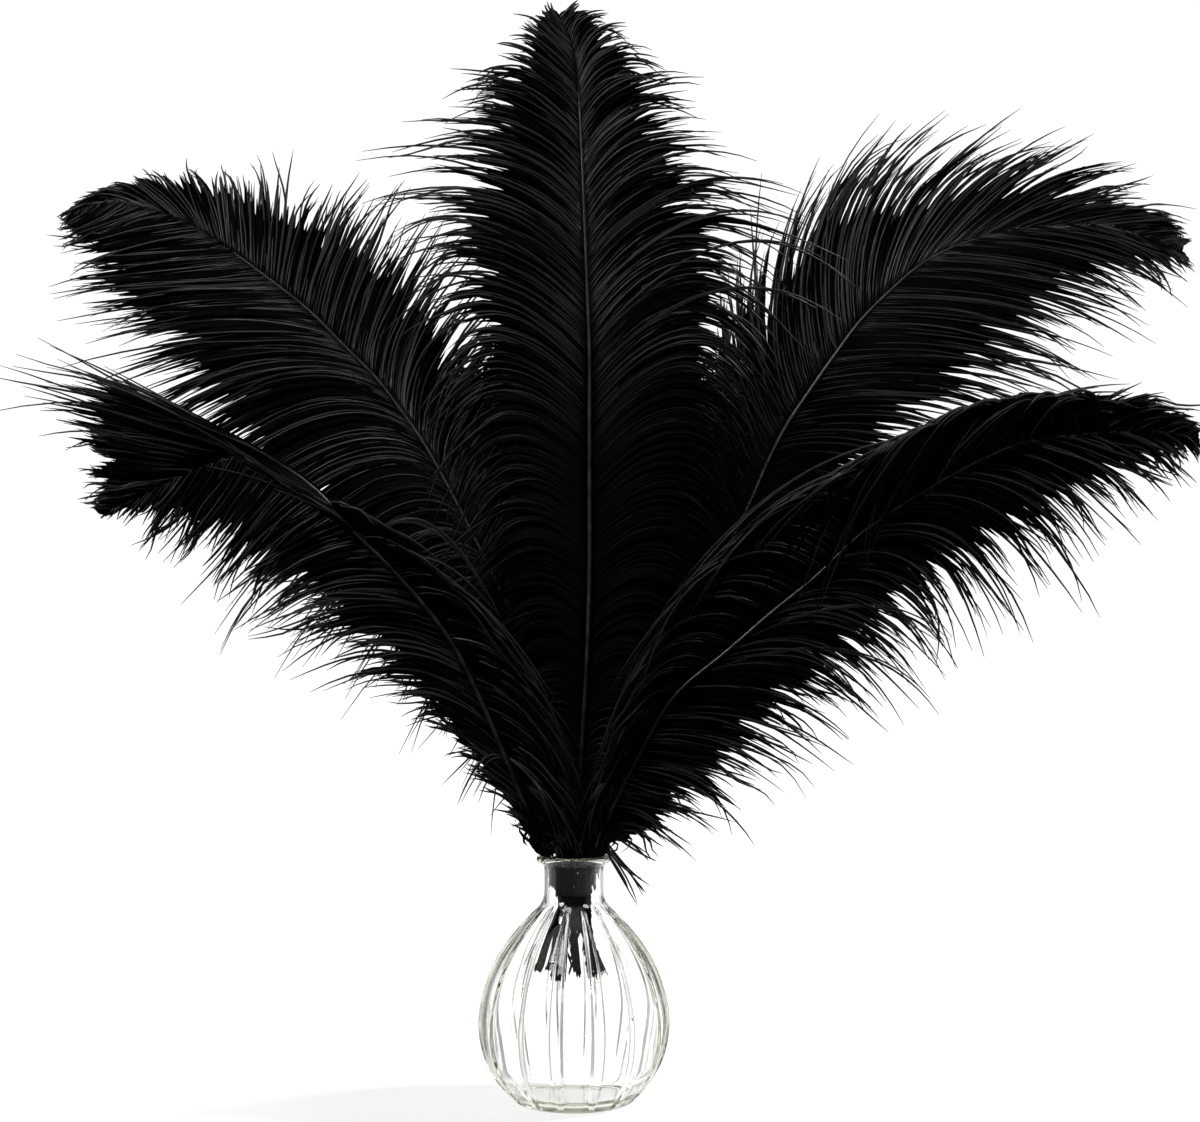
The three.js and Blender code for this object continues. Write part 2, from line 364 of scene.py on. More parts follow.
# How a plume's barbs lie. Lengths are in mm, and strays and bends are those of a long barb's tip.
barbs = dict(
    shaftSteps=24,  # points of a curve between two rows of a shaft's table, and of a vane's
    rowSteps=12,
    clumpPitch=1.6,  # along the shaft
    fewestClumps=4,
    pitchStray=0.12,  # share of the pitch by which a clump is out of its place
    clumpsPerLock=2.6,  # neighbouring clumps whose tips draw together
    lockPull=0.35,  # how far they do, as a share of the way
    lockEdge=0.4,  # how ragged the line between two locks is, in locks
    lockStray=1.8,
    clumpStray=1.5,
    meanReach=0.97,  # share of the row's barb, with what locks and clumps add or take
    lockReach=0.05,
    clumpReach=0.05,
    lockDepth=3.0,  # towards the front and the back
    clumpDepth=2.4,
    barbDepth=1.5,
    depthGrowth=1.6,  # power of the way along a barb with which it leaves the sheet
    bendFrom=0.5,  # share of a barb past which its tip bends off
    lockBend=1.8,
    clumpBend=2.2,
    droop=1.8,
    clumpWave=1.0,
    turns=(5.0, 13.0),  # of a wave, in radians from root to tip
    middleShare=0.4,  # of the tip's shift, that the middle of a barb takes
    flyawayStray=4.5,
    fullLength=25.0,  # a barb this long or longer strays and bends in full
    leastScatter=0.12,
    fullOvershoot=45.0,  # a longer barb overshoots its row's tip by no more mm than this one
)

# Half width at every tip, how late a strand thins, a blade's width where it grows and what it
# gains on its way, how fast it closes, and the part of a filler's length over which it closes.
# From one strand to the next the uv moves by uvShift, so that no two have the same streaks.
outline = dict(
    tip=0.1, fade=6.5, bladeRoot=0.45, bladeGain=1.3, bladeWidest=0.7, bladeClose=0.9,
    fillerClose=0.33, uvShift=7.3,
)


# A strand's width by t: full at the root and lost with a power of t.
def strandOutline(t):
    return 1 - t ** outline["fade"]


# A blade's: narrow where it grows, widest about a third of the way, then to a point.
def bladeOutline(t):
    grown = outline["bladeRoot"] + outline["bladeGain"] * t
    return grown * (1 - t) ** outline["bladeClose"] / outline["bladeWidest"]


# A filler's: full for two thirds of the way, then closing evenly.
def fillerOutline(t):
    return np.clip((1 - t) / outline["fillerClose"], 0, 1)


# What grows in each clump: strands to the barbs' tips, a broad blade behind them, and a
# broader filler near the shaft. Reach, shortest and longest are shares of the barb's length,
# skew is high where few are long, rootSpread is a share of the pitch, loose is the share of
# the clump's and the lock's scatter that a kind takes, and flyaways that of its barbs that
# stray further. Widths are the least and the most of the half width, as shares of it.
strands = dict(
    count=2, steps=13, halfWidth=0.5, widths=(0.7, 1.2), outline=strandOutline, ridge=1.15, roll=0.55,
    reach=1.0, shortest=0.72, longest=1.13, skew=1.5, rootSpread=0.25, loose=1, flyaways=0.03,
    stray=1.1, bend=1.5, wave=0.5,
)
blades = dict(
    count=1, steps=8, halfWidth=0.95, widths=(0.6, 1.1), outline=bladeOutline, ridge=0.4, roll=0.4,
    reach=0.92, shortest=0.66, longest=1.0, skew=1, rootSpread=0.3, loose=1, flyaways=0,
    stray=0.3, bend=0.4, wave=0.1,
)
fillers = dict(
    count=1, steps=6, halfWidth=1.6, widths=(0.8, 1.1), outline=fillerOutline, ridge=0.3, roll=0.25,
    reach=0.73, shortest=0.85, longest=1.0, skew=1, rootSpread=0.1, loose=0.15, flyaways=0,
    stray=0.3, bend=0.0, wave=0.0,
)


# A vane and what sets it apart: "lift" brings it forward where it falls across the plume,
# "dense" multiplies its clumps, "filled" its fillers' reach, and "locked" the width and the
# pull of its locks.
def vaneOf(rows, lift=0, dense=1, filled=1, locked=1):
    return dict(rows=rows, lift=lift, dense=dense, filled=filled, locked=locked)


# A plume hangs on an upright sheet: "layer" is the sheet's y in the neck and "lean" its slope
# higher up. The shaft is x and height above the lip, and the quill runs below it from x "mouth"
# at the lip to x "cut". A vane's row is a share of the shaft's length, then x and height of the
# middle and of the tip of the barb that grows there, and so is a row of a loose barb. The key
# after "mouth" says whether the plume's strands take painted shade, darker and duller in the crowd.
plumes = [dict(
    name="plume_lower_right", seed=11, layer=-6.8, lean=-0.4, cut=-8.8, mouth=9.0, paintedShade=False,
    shaft=[
        (9, 2), (13, 14), (21, 32), (29, 48), (38, 65), (48, 78), (67, 94), (86, 111),
        (104, 126), (126, 147), (158, 168), (186, 182), (205, 186), (227, 188), (248, 188),
        (263, 185),
    ],
    vanes=[
        vaneOf(dense=1.3, locked=1.6, rows=[
            (0.01, 21, 9, 29, 3), (0.08, 35, 23, 55, 14), (0.14, 54, 41, 85, 25),
            (0.21, 75, 64, 106, 48), (0.29, 97, 87, 129, 65), (0.38, 118, 110, 152, 83),
            (0.47, 139, 129, 167, 101), (0.56, 160, 145, 187, 117), (0.66, 184, 158, 212, 132),
            (0.73, 204, 169, 232, 147), (0.83, 227, 179, 250, 166), (0.95, 256, 184, 262, 178),
            (1.00, 264, 183, 266, 180),
        ]),
        vaneOf(lift=1, rows=[
            (0.74, 182, 193, 196, 202), (0.80, 212, 199, 238, 203), (0.89, 242, 196, 259, 197),
            (1.00, 264, 187, 265, 188),
        ]),
        vaneOf(lift=7, dense=1.15, filled=1.35, rows=[
            (0.13, 13, 31, 6, 6), (0.27, 27, 72, 10, 24), (0.33, 36, 91, 13, 37),
            (0.40, 47, 111, 19, 56), (0.47, 62, 130, 28, 82), (0.56, 86, 154, 44, 102),
            (0.62, 102, 164, 56, 113), (0.68, 123, 176, 81, 114), (0.73, 145, 187, 115, 128),
            (0.77, 164, 195, 130, 148), (0.83, 188, 200, 160, 166), (0.89, 213, 202, 192, 188),
        ]),
    ],
    loose=[
        (0.02, 25, -6, 36, -22), (0.03, 23, -3, 35, -9), (0.02, 21, -6, 28, -18),
        (0.04, 27, 6, 38, -1), (0.28, 124, 92, 166, 54), (0.34, 130, 113, 170, 86),
        (0.77, 105, 174, 36, 108), (0.83, 140, 184, 74, 140), (0.86, 146, 183, 125, 127),
        (0.90, 172, 193, 164, 171), (0.60, 62, 130, 30, 70), (0.52, 48, 112, 16, 44),
    ],
), dict(
    name="plume_lower_left", seed=12, layer=-3.3, lean=-0.3, cut=13.8, mouth=-12.0, paintedShade=False,
    shaft=[
        (-12, 1), (-22, 25), (-32, 50), (-42, 74), (-53, 97), (-67, 116), (-81, 132),
        (-95, 146), (-107, 160), (-120, 171), (-131, 177), (-143, 180), (-155, 177),
        (-169, 171), (-184, 164), (-200, 155),
    ],
    vanes=[
        vaneOf(dense=1.2, locked=1.6, rows=[
            (0.01, -17, 9, -22, 12), (0.10, -37, 40, -54, 49), (0.20, -58, 71, -85, 69),
            (0.32, -77, 98, -110, 95), (0.48, -103, 126, -133, 113), (0.64, -130, 143, -151, 122),
            (0.74, -149, 154, -168, 130), (0.83, -167, 160, -182, 142), (0.93, -188, 159, -195, 152),
            (1.00, -203, 154, -207, 152),
        ]),
        vaneOf(lift=1, dense=1.5, filled=1.2, rows=[
            (0.52, -98, 151, -122, 166), (0.59, -129, 170, -174, 197), (0.64, -151, 186, -215, 219),
            (0.69, -164, 194, -225, 213), (0.74, -176, 192, -227, 205), (0.80, -184, 186, -222, 196),
            (0.86, -190, 176, -212, 180),
            (0.93, -196, 162, -210, 160), (1.00, -205, 155, -208, 157),
        ]),
        vaneOf(lift=7, rows=[
            (0.00, -9, 5, -6, -2), (0.08, -11, 15, -2, 4), (0.23, -13, 47, 1, 19),
            (0.37, -24, 85, -1, 40), (0.48, -46, 116, -14, 66), (0.55, -64, 132, -34, 90),
            (0.60, -78, 146, -52, 118), (0.64, -94, 155, -80, 142),
        ]),
    ],
    loose=[(0.16, -40, 44, -52, 24), (0.55, -60, 148, -28, 100)],
), dict(
    name="plume_center", seed=13, layer=0.4, lean=-0.06, cut=-5.9, mouth=-0.2, paintedShade=True,
    shaft=[
        (0, 1), (2, 26), (4, 57), (6, 93), (7, 131), (7, 165), (7, 196), (7, 227), (6, 254),
        (5, 280), (4, 304), (3, 326), (2, 344), (0, 358), (-3, 367), (-7, 373),
    ],
    vanes=[
        vaneOf(dense=1.15, locked=1.4, rows=[
            (0.01, -4, 6, -6, 2), (0.17, -13, 73, -31, 46), (0.34, -24, 145, -56, 114),
            (0.46, -29, 193, -56, 166), (0.55, -33, 233, -65, 214), (0.64, -37, 270, -80, 260),
            (0.72, -33, 297, -83, 298), (0.79, -27, 320, -72, 321), (0.86, -22, 342, -51, 345),
            (0.90, -17, 354, -36, 358), (0.93, -14, 363, -27, 368), (0.96, -11, 370, -18, 376),
            (1.00, -9, 376, -11, 381),
        ]),
        vaneOf(dense=1.15, locked=1.4, rows=[
            (0.01, 4, 6, 8, 2), (0.17, 23, 73, 42, 48), (0.34, 43, 145, 72, 109),
            (0.51, 50, 222, 84, 190), (0.58, 52, 250, 94, 221), (0.66, 46, 280, 96, 268),
            (0.75, 34, 308, 76, 310), (0.83, 25, 333, 56, 338), (0.89, 18, 351, 43, 353),
            (0.92, 12, 361, 30, 363), (0.96, 5, 371, 14, 374), (1.00, -4, 376, -2, 380),
        ]),
    ],
    loose=[
        (0.57, 66, 254, 122, 235), (0.61, 70, 274, 130, 253), (0.66, 58, 286, 112, 278),
        (0.71, 52, 300, 106, 294), (0.53, 54, 232, 96, 196), (0.66, -50, 284, -88, 264),
    ],
), dict(
    name="plume_back_right", seed=14, layer=3.6, lean=0.08, cut=7.7, mouth=4.6, paintedShade=True,
    shaft=[(4, 0), (6, 25), (12, 61), (20, 102), (28, 143), (34, 179), (37, 209)],
    vanes=[
        vaneOf(rows=[
            (0.12, 1, 24, -2, 18), (0.29, 2, 61, -5, 50), (0.49, 3, 106, -10, 88),
            (0.69, 7, 154, -8, 143), (0.86, 17, 195, 6, 205), (1.00, 34, 216, 30, 222),
        ]),
        vaneOf(rows=[
            (0.12, 12, 25, 17, 18), (0.29, 28, 65, 39, 50), (0.49, 43, 110, 63, 93),
            (0.69, 55, 160, 80, 145), (0.86, 58, 202, 80, 204), (1.00, 46, 222, 56, 229),
        ]),
    ],
    loose=[],
), dict(
    name="plume_upper_left", seed=15, layer=4.2, lean=0.2, cut=1.4, mouth=-3.6, paintedShade=True,
    shaft=[
        (-4, 0), (-6, 25), (-11, 52), (-18, 81), (-26, 104), (-34, 120), (-45, 142), (-58, 167),
        (-70, 188), (-82, 205), (-93, 219), (-108, 234), (-125, 251), (-144, 266), (-163, 280),
        (-182, 292), (-202, 300), (-221, 303), (-241, 299),
    ],
    vanes=[
        vaneOf(dense=1.3, filled=1.35, rows=[
            (0.01, -8, 5, -10, 2), (0.17, -28, 66, -44, 42), (0.30, -57, 124, -90, 88),
            (0.43, -101, 174, -156, 128), (0.53, -130, 212, -194, 178), (0.63, -155, 241, -214, 231),
            (0.71, -177, 257, -228, 254), (0.78, -194, 271, -233, 268), (0.85, -209, 287, -234, 281),
            (0.93, -227, 294, -239, 289), (1.00, -240, 296, -243, 295),
        ]),
        vaneOf(locked=2, rows=[
            (0.03, -3, 9, 0, 6), (0.16, -4, 79, 8, 79), (0.29, -18, 140, 6, 160),
            (0.36, -28, 172, -2, 204), (0.42, -44, 200, -12, 240), (0.50, -66, 230, -34, 268),
            (0.58, -86, 255, -62, 297), (0.64, -102, 272, -82, 307), (0.68, -115, 281, -99, 312),
            (0.72, -131, 290, -122, 319), (0.76, -151, 298, -155, 326), (0.81, -173, 307, -181, 328),
            (0.86, -203, 310, -214, 315), (0.92, -225, 306, -236, 302), (1.00, -241, 298, -245, 296),
        ]),
    ],
    loose=[(0.52, -70, 232, -44, 252), (0.44, -52, 204, -22, 214)],
), dict(
    name="plume_upper_right", seed=16, layer=8.0, lean=0.3, cut=-11.7, mouth=6.3, paintedShade=True,
    shaft=[
        (6, 0), (14, 22), (26, 48), (43, 83), (61, 120), (80, 157), (90, 179), (99, 196),
        (109, 211), (124, 232), (137, 249), (152, 264), (166, 276), (182, 285), (197, 290),
        (216, 294), (235, 296), (255, 296), (274, 291), (292, 282),
    ],
    vanes=[
        vaneOf(dense=1.2, filled=1.2, locked=1.8, rows=[
            (0.02, 8, 13, 6, 16), (0.20, 30, 104, 25, 122), (0.36, 58, 180, 48, 212),
            (0.43, 74, 214, 68, 256), (0.49, 90, 246, 100, 304),
        ]),
        vaneOf(filled=0.8, locked=1.6, rows=[
            (0.49, 92, 250, 104, 308), (0.52, 104, 272, 128, 328), (0.56, 120, 290, 150, 338),
            (0.61, 140, 303, 172, 342), (0.66, 168, 308, 208, 343), (0.71, 200, 314, 240, 342),
            (0.76, 224, 314, 264, 331), (0.82, 250, 306, 282, 312), (0.90, 278, 300, 293, 299),
            (1.00, 295, 286, 299, 287),
        ]),
        vaneOf(rows=[
            (0.04, 17, 15, 24, 8), (0.20, 61, 82, 80, 60), (0.37, 103, 155, 130, 129),
            (0.46, 136, 192, 184, 178), (0.54, 172, 223, 228, 208), (0.60, 188, 238, 240, 222),
            (0.65, 204, 254, 248, 236), (0.70, 218, 268, 266, 252), (0.76, 238, 280, 279, 262),
            (0.82, 256, 286, 286, 270), (0.91, 276, 286, 293, 276), (1.00, 295, 281, 298, 279),
        ]),
    ],
    loose=[(0.50, 84, 250, 92, 300), (0.46, 74, 232, 70, 276), (0.58, 120, 262, 128, 322)],
), dict(
    name="plume_back_left", seed=17, layer=8.0, lean=0.45, cut=-16.7, mouth=1.6, paintedShade=True,
    shaft=[(2, 0), (3, 24), (-1, 60), (-9, 96), (-20, 134), (-31, 172), (-41, 202), (-47, 219)],
    vanes=[
        vaneOf(rows=[
            (0.11, -4, 24, -10, 18), (0.27, -18, 62, -30, 49), (0.43, -33, 101, -52, 83),
            (0.61, -48, 141, -69, 122), (0.78, -58, 182, -82, 167), (0.92, -59, 214, -77, 212),
            (1.00, -54, 228, -61, 232),
        ]),
        vaneOf(rows=[
            (0.11, 6, 24, 11, 18), (0.27, 11, 64, 20, 49), (0.43, 12, 107, 27, 90),
            (0.61, 7, 150, 28, 136), (0.78, -5, 192, 20, 187), (0.92, -22, 218, -1, 219),
            (1.00, -42, 228, -35, 234),
        ]),
    ],
    loose=[],
)]


# The sheet's y at a height above the lip: layer + lean * h * h / (h + leanRise), flat below it.
def sheetDepth(plume, height):
    above = np.maximum(height, 0)
    return plume["layer"] + plume["lean"] * above**2 / (above + bottle["leanRise"])


# The shaft as a dense curve, with the length from its start to each of its points.
def shaftCurve(plume):
    curve = through(plume["shaft"], barbs["shaftSteps"])
    return curve, np.concatenate([[0], np.cumsum(np.hypot(*np.diff(curve, axis=0).T))])


# Points of the shaft at any shares of its length.
def onShaft(plume, at):
    curve, distance = shaftCurve(plume)
    share = distance / distance[-1]
    return np.stack([np.interp(at, share, column) for column in curve.T], axis=-1)


# Rows of a vane at any shares of the shaft: Catmull-Rom between the rows by their number,
# then read off by share.
def rowsAt(rows, share):
    dense = through(rows, barbs["rowSteps"])
    return np.stack([np.interp(share, dense[:, 0], column) for column in dense[:, 1:].T], axis=-1)


# A quadratic curve that starts at root, passes middle halfway and ends at tip.
def arc(root, middle, tip, t):
    control = 2 * middle - (root + tip) / 2
    t = t[..., None]
    return (1 - t) ** 2 * root[:, None] + 2 * t * (1 - t) * control[:, None] + t**2 * tip[:, None]


# Directions across curves: the side is square to the front view and to the curve, and the
# face is square to the side and to the curve.
def across(centre):
    along = np.gradient(centre, axis=-2)
    along /= np.linalg.norm(along, axis=-1, keepdims=True) + tiny
    side = np.cross(frontView, along)
    side /= np.linalg.norm(side, axis=-1, keepdims=True) + tiny
    return side, np.cross(along, side)


# Three-cornered strands along curves: each ring has two corners beside the curve, halfWidth
# away, and one in front of it, the three turned about the curve by roll. From the line
# between the two to the one in front it is ridge, and the curve runs a third of the way up.
def strandFaces(centre, halfWidth, ridge, roll):
    side, face = across(centre)
    cosine, sine = np.cos(roll)[:, None, None], np.sin(roll)[:, None, None]
    side, face = side * cosine + face * sine, face * cosine - side * sine
    wide, tall = halfWidth[..., None], ridge[..., None]
    rings = np.stack(
        [centre - side * wide - face * tall / 3, centre + side * wide - face * tall / 3,
         centre + face * tall * 2 / 3],
        axis=2,
    )
    count, steps = centre.shape[:2]
    first = np.arange(count)[:, None] * steps * 3
    ends = np.vstack([first + [0, 2, 1], first + (steps - 1) * 3 + [0, 1, 2]])
    u = np.linspace(0, 1, steps) + np.arange(count)[:, None] * outline["uvShift"]
    v = np.array([0.0, 1.0, 0.5])
    uvs = np.stack(np.broadcast_arrays(u[..., None], v), axis=-1).reshape(-1, 2)
    return rings.reshape(-1, 3), tubeQuads(count, steps, 3), ends, uvs


# Strands of one form along curves. A half width is the form's by a random share, by its
# outline at t, plus the tip's. The roll is random too.
def strandsAlong(centre, form, draw):
    count, steps = centre.shape[:2]
    t = np.linspace(0, 1, steps)[None, :]
    share = draw.uniform(*form["widths"], count)[:, None]
    width = form["halfWidth"] * share * form["outline"](t) + outline["tip"]
    roll = draw.uniform(-form["roll"], form["roll"], count)
    return strandFaces(centre, width, width * form["ridge"], roll)


# Barbs that grow near the mouth are kept inside it: within neckRadius below the lip, and in a
# cone that opens by mouthSpread for each mm above it. The hold fades out towards mouthTop, and
# over the last mouthFade of mouthReach from the axis.
def throughMouth(points):
    x, y, height = points[..., 0], points[..., 1], points[..., 2]
    radius = np.hypot(x, y) + tiny
    allowed = bottle["neckRadius"] + bottle["mouthSpread"] * np.maximum(height, 0)
    hold = np.clip(1 - height / bottle["mouthTop"], 0, 1)
    hold *= np.clip((bottle["mouthReach"] - radius) / bottle["mouthFade"], 0, 1)
    pull = 1 - hold * (1 - np.minimum(1, allowed / radius))
    return np.stack([x * pull, y * pull, height], axis=-1)


# Single barbs that hang outside are lifted over the rim where they cross it.
def overRim(points):
    x, y, height = points[..., 0], points[..., 1], points[..., 2]
    radius = np.hypot(x, y)
    onRim = (radius >= bottle["rimInner"]) & (radius < bottle["rimRadius"])
    return np.stack([x, y, np.where(onRim, np.maximum(height, bottle["rimTop"]), height)], axis=-1)


# A vane's clumps. Each has its place along the shaft and its barb from the vane's rows, and
# a random shift of the tip, reach, depth, bend and wave, most of them shared in part by its
# lock. The pull is the way from the clump's tip towards the middle of its lock's.
def vaneClumps(plume, vane, draw):
    length = shaftCurve(plume)[1][-1]
    low, high = vane["rows"][0][0], vane["rows"][-1][0]
    count = int((high - low) * length / barbs["clumpPitch"] * vane["dense"])
    count = max(barbs["fewestClumps"], count)
    place = np.arange(count) + 0.5 + barbs["pitchStray"] * draw.uniform(-1, 1, count)
    at = low + (high - low) * place / count
    lock = np.arange(count) / (barbs["clumpsPerLock"] * vane["locked"])
    lock = (lock + draw.uniform(0, barbs["lockEdge"], count)).astype(int)
    locks = lock.max() + 1
    lockAt = np.bincount(lock, at, locks) / np.maximum(np.bincount(lock, None, locks), 1)
    barb = rowsAt(vane["rows"], at)
    barbLength = np.hypot(barb[:, 2] - barb[:, 0], barb[:, 3] - barb[:, 1])
    scatter = np.clip(barbLength / barbs["fullLength"], barbs["leastScatter"], 1)
    lockShift = draw.normal(0, barbs["lockStray"], (locks, 2))[lock]
    lockReach = draw.normal(0, barbs["lockReach"], locks)[lock]
    lockDepth = draw.normal(0, barbs["lockDepth"], locks)[lock]
    lockBend = draw.normal(0, barbs["lockBend"], (locks, 2))[lock] - [0, barbs["droop"]]
    bend = lockBend + draw.normal(0, barbs["clumpBend"], (count, 2))
    return dict(
        at=at,
        spacing=(high - low) / count,
        barb=barb,
        overshoot=np.minimum(1, barbs["fullOvershoot"] / barbLength),
        scatter=scatter,
        pull=barbs["lockPull"] * vane["locked"] * (rowsAt(vane["rows"], lockAt[lock]) - barb)[:, 2:],
        shift=(lockShift + draw.normal(0, barbs["clumpStray"], (count, 2))) * scatter[:, None],
        reach=barbs["meanReach"] + lockReach + draw.normal(0, barbs["clumpReach"], count),
        depth=(lockDepth + draw.normal(0, barbs["clumpDepth"], count)) * scatter,
        bend=bend * scatter[:, None],
        wave=draw.normal(0, barbs["clumpWave"], (count, 2)) * scatter[:, None],
        turns=draw.uniform(*barbs["turns"], count),
        phase=draw.uniform(0, 2 * math.pi, count),
    )


# Curves of the barbs of one kind. Each starts on the shaft near its clump's place, follows
# the clump's arc with its own stray, and past bendFrom bends off with the square of what is
# left. Its depth is the sheet's plus a drift that grows with t, less the vane's lift.
def barbCurves(plume, vane, clumps, kind, draw):
    clump = np.repeat(np.arange(len(clumps["at"])), kind["count"])
    count = len(clump)
    scatter = clumps["scatter"][clump][:, None]

    # The clump's own value plus the barb's, which is normal with the kind's deviation.
    def shared(part, deviation):
        own = draw.normal(0, 1, (count, 2)) * deviation * scatter
        return kind["loose"] * clumps[part][clump] + own

    spread = clumps["spacing"] * kind["rootSpread"] * draw.uniform(-1, 1, count)
    root = onShaft(plume, clumps["at"][clump] + spread)
    barb = clumps["barb"][clump]
    flies = draw.uniform(0, 1, count) < kind["flyaways"]
    stray = np.where(flies, barbs["flyawayStray"], kind["stray"])[:, None]
    shift = shared("shift", stray)
    middle = barb[:, :2] + barbs["middleShare"] * shift
    tip = barb[:, 2:] + shift + kind["loose"] * clumps["pull"][clump]
    longer = (kind["longest"] - kind["shortest"]) * draw.uniform(0, 1, count) ** kind["skew"]
    filled = vane["filled"] if kind is fillers else 1
    reach = filled * kind["reach"] * clumps["reach"][clump] * (kind["shortest"] + longer)
    reach = np.minimum(reach, 1 + (reach - 1) * clumps["overshoot"][clump])
    t = np.linspace(0, 1, kind["steps"])[None, :] * reach[:, None]
    flat = arc(root, middle, tip, t)
    beyond = np.clip((t - barbs["bendFrom"]) / (1 - barbs["bendFrom"]), 0, None)
    flat += (beyond**2)[..., None] * shared("bend", kind["bend"])[:, None]
    swing = np.sin(t * clumps["turns"][clump][:, None] + clumps["phase"][clump][:, None]) * t
    flat += swing[..., None] * shared("wave", kind["wave"])[:, None]
    drift = clumps["depth"][clump] + draw.normal(0, barbs["barbDepth"], count) * scatter[:, 0]
    depth = sheetDepth(plume, flat[..., 1]) + drift[:, None] * t ** barbs["depthGrowth"]
    depth -= vane["lift"] * np.sin(math.pi * np.clip(t, 0, 1)) * scatter
    return throughMouth(np.stack([flat[..., 0], depth, flat[..., 1]], axis=-1))


# Joins several groups of strands into one mesh piece.
def joinGroups(name, groups, material):
    points, quads, triangles, uvs = (list(column) for column in zip(*groups))
    starts = np.cumsum([0] + [len(group) for group in points[:-1]])
    for number, start in enumerate(starts):
        quads[number] = quads[number] + start
        triangles[number] = triangles[number] + start
    points = np.vstack(points)
    points[:, 2] += bottle["lipHeight"]
    return meshPiece(name, points, np.vstack(quads), np.vstack(triangles), np.vstack(uvs), material)


# Single barbs that left the vane. Each row of a plume's "loose" list gives a few strands.
stragglers = dict(
    perRow=3, steps=16, middleStray=0.7, tipStray=2.2, shortest=0.8, forward=5.0, halfWidth=0.4,
    widths=(0.7, 1.2), outline=strandOutline, ridge=1.15, roll=0.5,
)


# Each strand is an arc with a stray of its own, and comes forward in step with t.
def looseStrands(plume, draw):
    rows = np.repeat(np.asarray(plume["loose"], dtype=float), stragglers["perRow"], axis=0)
    count = len(rows)
    root = onShaft(plume, rows[:, 0])
    middle = rows[:, 1:3] + draw.normal(0, stragglers["middleStray"], (count, 2))
    tip = rows[:, 3:] + draw.normal(0, stragglers["tipStray"], (count, 2))
    reach = draw.uniform(stragglers["shortest"], 1, count)
    t = np.linspace(0, 1, stragglers["steps"])[None, :] * reach[:, None]
    flat = arc(root, middle, tip, t)
    depth = sheetDepth(plume, flat[..., 1]) - stragglers["forward"] * t
    centre = overRim(np.stack([flat[..., 0], depth, flat[..., 1]], axis=-1))
    return strandsAlong(centre, stragglers, draw)


# Down and torn barbs round the quill, from lowest to highest with their roots and no lower
# than deepest. "around" is the share that lies at the lip and in the neck, between aroundLow
# and aroundHigh. Pairs are for inside the vase and outside it: sizes and openings as shares,
# and the share of strands that bend up.
down = dict(
    strands=340, steps=6, halfWidth=0.6, widths=(0.7, 1.2), outline=strandOutline, ridge=1.4, roll=1.5,
    lowest=-50.0, deepest=-54.5, highest=26.0, around=0.7, aroundLow=-24.0, aroundHigh=14.0,
    shortest=6.0, longest=16.0, leastSpread=0.15, spread=0.9, size=(0.62, 1.0), opening=(0.4, 1.0),
    rising=(0.15, 0.6), curl=1.6, depth=0.8, along=0.9, sag=0.15,
)


# Each strand leaves the quill at a random turn about it with the sine of t times curl, and
# goes up or down with t, less a sag with its square.
def downStrands(plume, draw):
    count = down["strands"]
    height = np.where(
        draw.uniform(0, 1, count) < down["around"],
        draw.uniform(down["aroundLow"], down["aroundHigh"], count),
        draw.uniform(down["lowest"], down["highest"], count),
    )
    inside = height < 0
    straight = plume["mouth"] + (plume["cut"] - plume["mouth"]) * -height / bottle["cutDepth"]
    curve = shaftCurve(plume)[0]
    lowHalf = curve[: len(curve) // 2]
    x = np.where(inside, straight, np.interp(height, lowHalf[:, 1], lowHalf[:, 0]))
    y = sheetDepth(plume, height)
    size = draw.uniform(down["shortest"], down["longest"], count) * np.where(inside, *down["size"])
    turn = draw.uniform(0, 2 * math.pi, count)
    opening = draw.uniform(down["leastSpread"], down["spread"], count)
    opening *= np.where(inside, *down["opening"])
    rise = np.where(draw.uniform(0, 1, count) < np.where(inside, *down["rising"]), 1.0, -1.0)
    t = np.linspace(0, 1, down["steps"])[None, :]
    outward = (size * opening)[:, None] * np.sin(t * down["curl"])
    upward = (size * rise)[:, None] * (down["along"] * t - down["sag"] * t**2)
    points = np.stack([
        x[:, None] + outward * np.cos(turn)[:, None],
        y[:, None] + outward * np.sin(turn)[:, None] * down["depth"],
        np.maximum(height[:, None] + upward, down["deepest"]),
    ], axis=-1)
    return strandsAlong(throughMouth(points), down, draw)


# One plume's barbs: the thin strands in one piece, the blades, fillers and down in another.
def barbPieces(plume):
    draw = np.random.default_rng(plume["seed"])
    fine, broad = [], []
    for vane in plume["vanes"]:
        clumps = vaneClumps(plume, vane, draw)
        for kind, pieces in ((strands, fine), (blades, broad), (fillers, broad)):
            pieces.append(strandsAlong(barbCurves(plume, vane, clumps, kind, draw), kind, draw))
    broad.append(downStrands(plume, draw))
    if plume["loose"]:
        fine.append(looseStrands(plume, draw))
    # plumes in the crowd take the strands with painted shade
    strandMaterial = shadedStrand if plume["paintedShade"] else blackStrand
    return (
        joinGroups(plume["name"] + "_barbs", fine, strandMaterial),
        joinGroups(plume["name"] + "_vane", broad, shadedBlackVane),
    )


# "forward" is how far the shaft lies before the sheet, reached over forwardOver of height and
# turned to the back by forwardLoss at the tip. The cut end is torn and hollow.
shaftForm = dict(
    sides=8, cutRadius=1.95, mouthRadius=0.92, tipRadius=0.15, taper=0.65, forward=1.3,
    forwardOver=30.0, forwardLoss=1.8, raggedEnd=3.0, cutHollow=2.5, quillRings=13, shaftRings=70,
    firstPoint=4, seedStep=100, uvLength=10.0,
)


